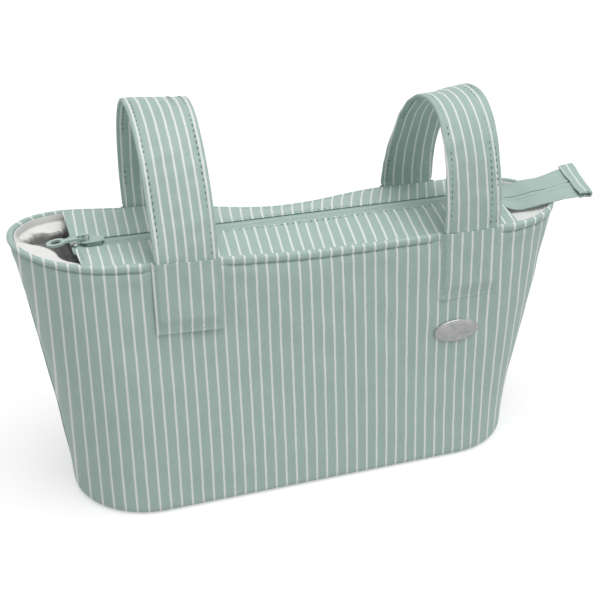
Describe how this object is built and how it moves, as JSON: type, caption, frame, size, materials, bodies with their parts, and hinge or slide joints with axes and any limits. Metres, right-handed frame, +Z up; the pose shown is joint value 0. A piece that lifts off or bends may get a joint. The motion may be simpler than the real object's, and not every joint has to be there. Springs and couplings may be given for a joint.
{
  "type": "stroller bag",
  "caption": "Zip-top stroller bag in striped coated cloth, open at both ends of the zip, with strap loops for the handlebar.",
  "frame": {"origin": "centre of the base, on the surface the bag stands on", "axes": "+Z up, +X along the zip from the slider to the free tail, -Y towards the front with the badge"},
  "size_m": [0.4119, 0.1241, 0.2644],
  "materials": {
    "striped_cloth": "matte coated cloth, pale green with thin white stripes",
    "lining_satin": "white satin",
    "board": "matte board",
    "zip_tape": "woven tape",
    "zip_coil": "nylon coil",
    "enamelled_zinc": "green enamel on cast zinc",
    "steel": "polished"
  },
  "bodies": {
    "bag": {"front_panel": "striped_cloth", "back_panel": "striped_cloth", "base_panel": "striped_cloth", "base_board": "board", "lining": "lining_satin", "zip_panel_front": "striped_cloth", "zip_panel_back": "striped_cloth", "zip_tape_front": "zip_tape", "zip_tape_back": "zip_tape", "zip_tail_front": "zip_tape", "zip_tail_back": "zip_tape", "zip_coil_front": "zip_coil", "zip_coil_back": "zip_coil", "zip_stop_front": "steel", "zip_stop_back": "steel", "zip_end_tab": "striped_cloth", "left_strap": "striped_cloth", "right_strap": "striped_cloth", "patch_front_left": "striped_cloth", "patch_front_right": "striped_cloth", "patch_back_left": "striped_cloth", "patch_back_right": "striped_cloth", "badge_plate": "steel", "badge_washer": "steel"},
    "slider": {"zip_slider": "enamelled_zinc"},
    "pull": {"zip_pull": "enamelled_zinc"}
  },
  "joints": [
    {"name": "slider_run", "type": "slide", "parent": "bag", "child": "slider", "axis": [1, 0, 0], "range_m": [0, 0.25]},
    {"name": "pull_swing", "type": "hinge", "parent": "slider", "child": "pull", "pos_m": [-0.1424, -0.0035, 0.1825], "axis": [0, 1, 0], "range_deg": [0, 190]}
  ]
}
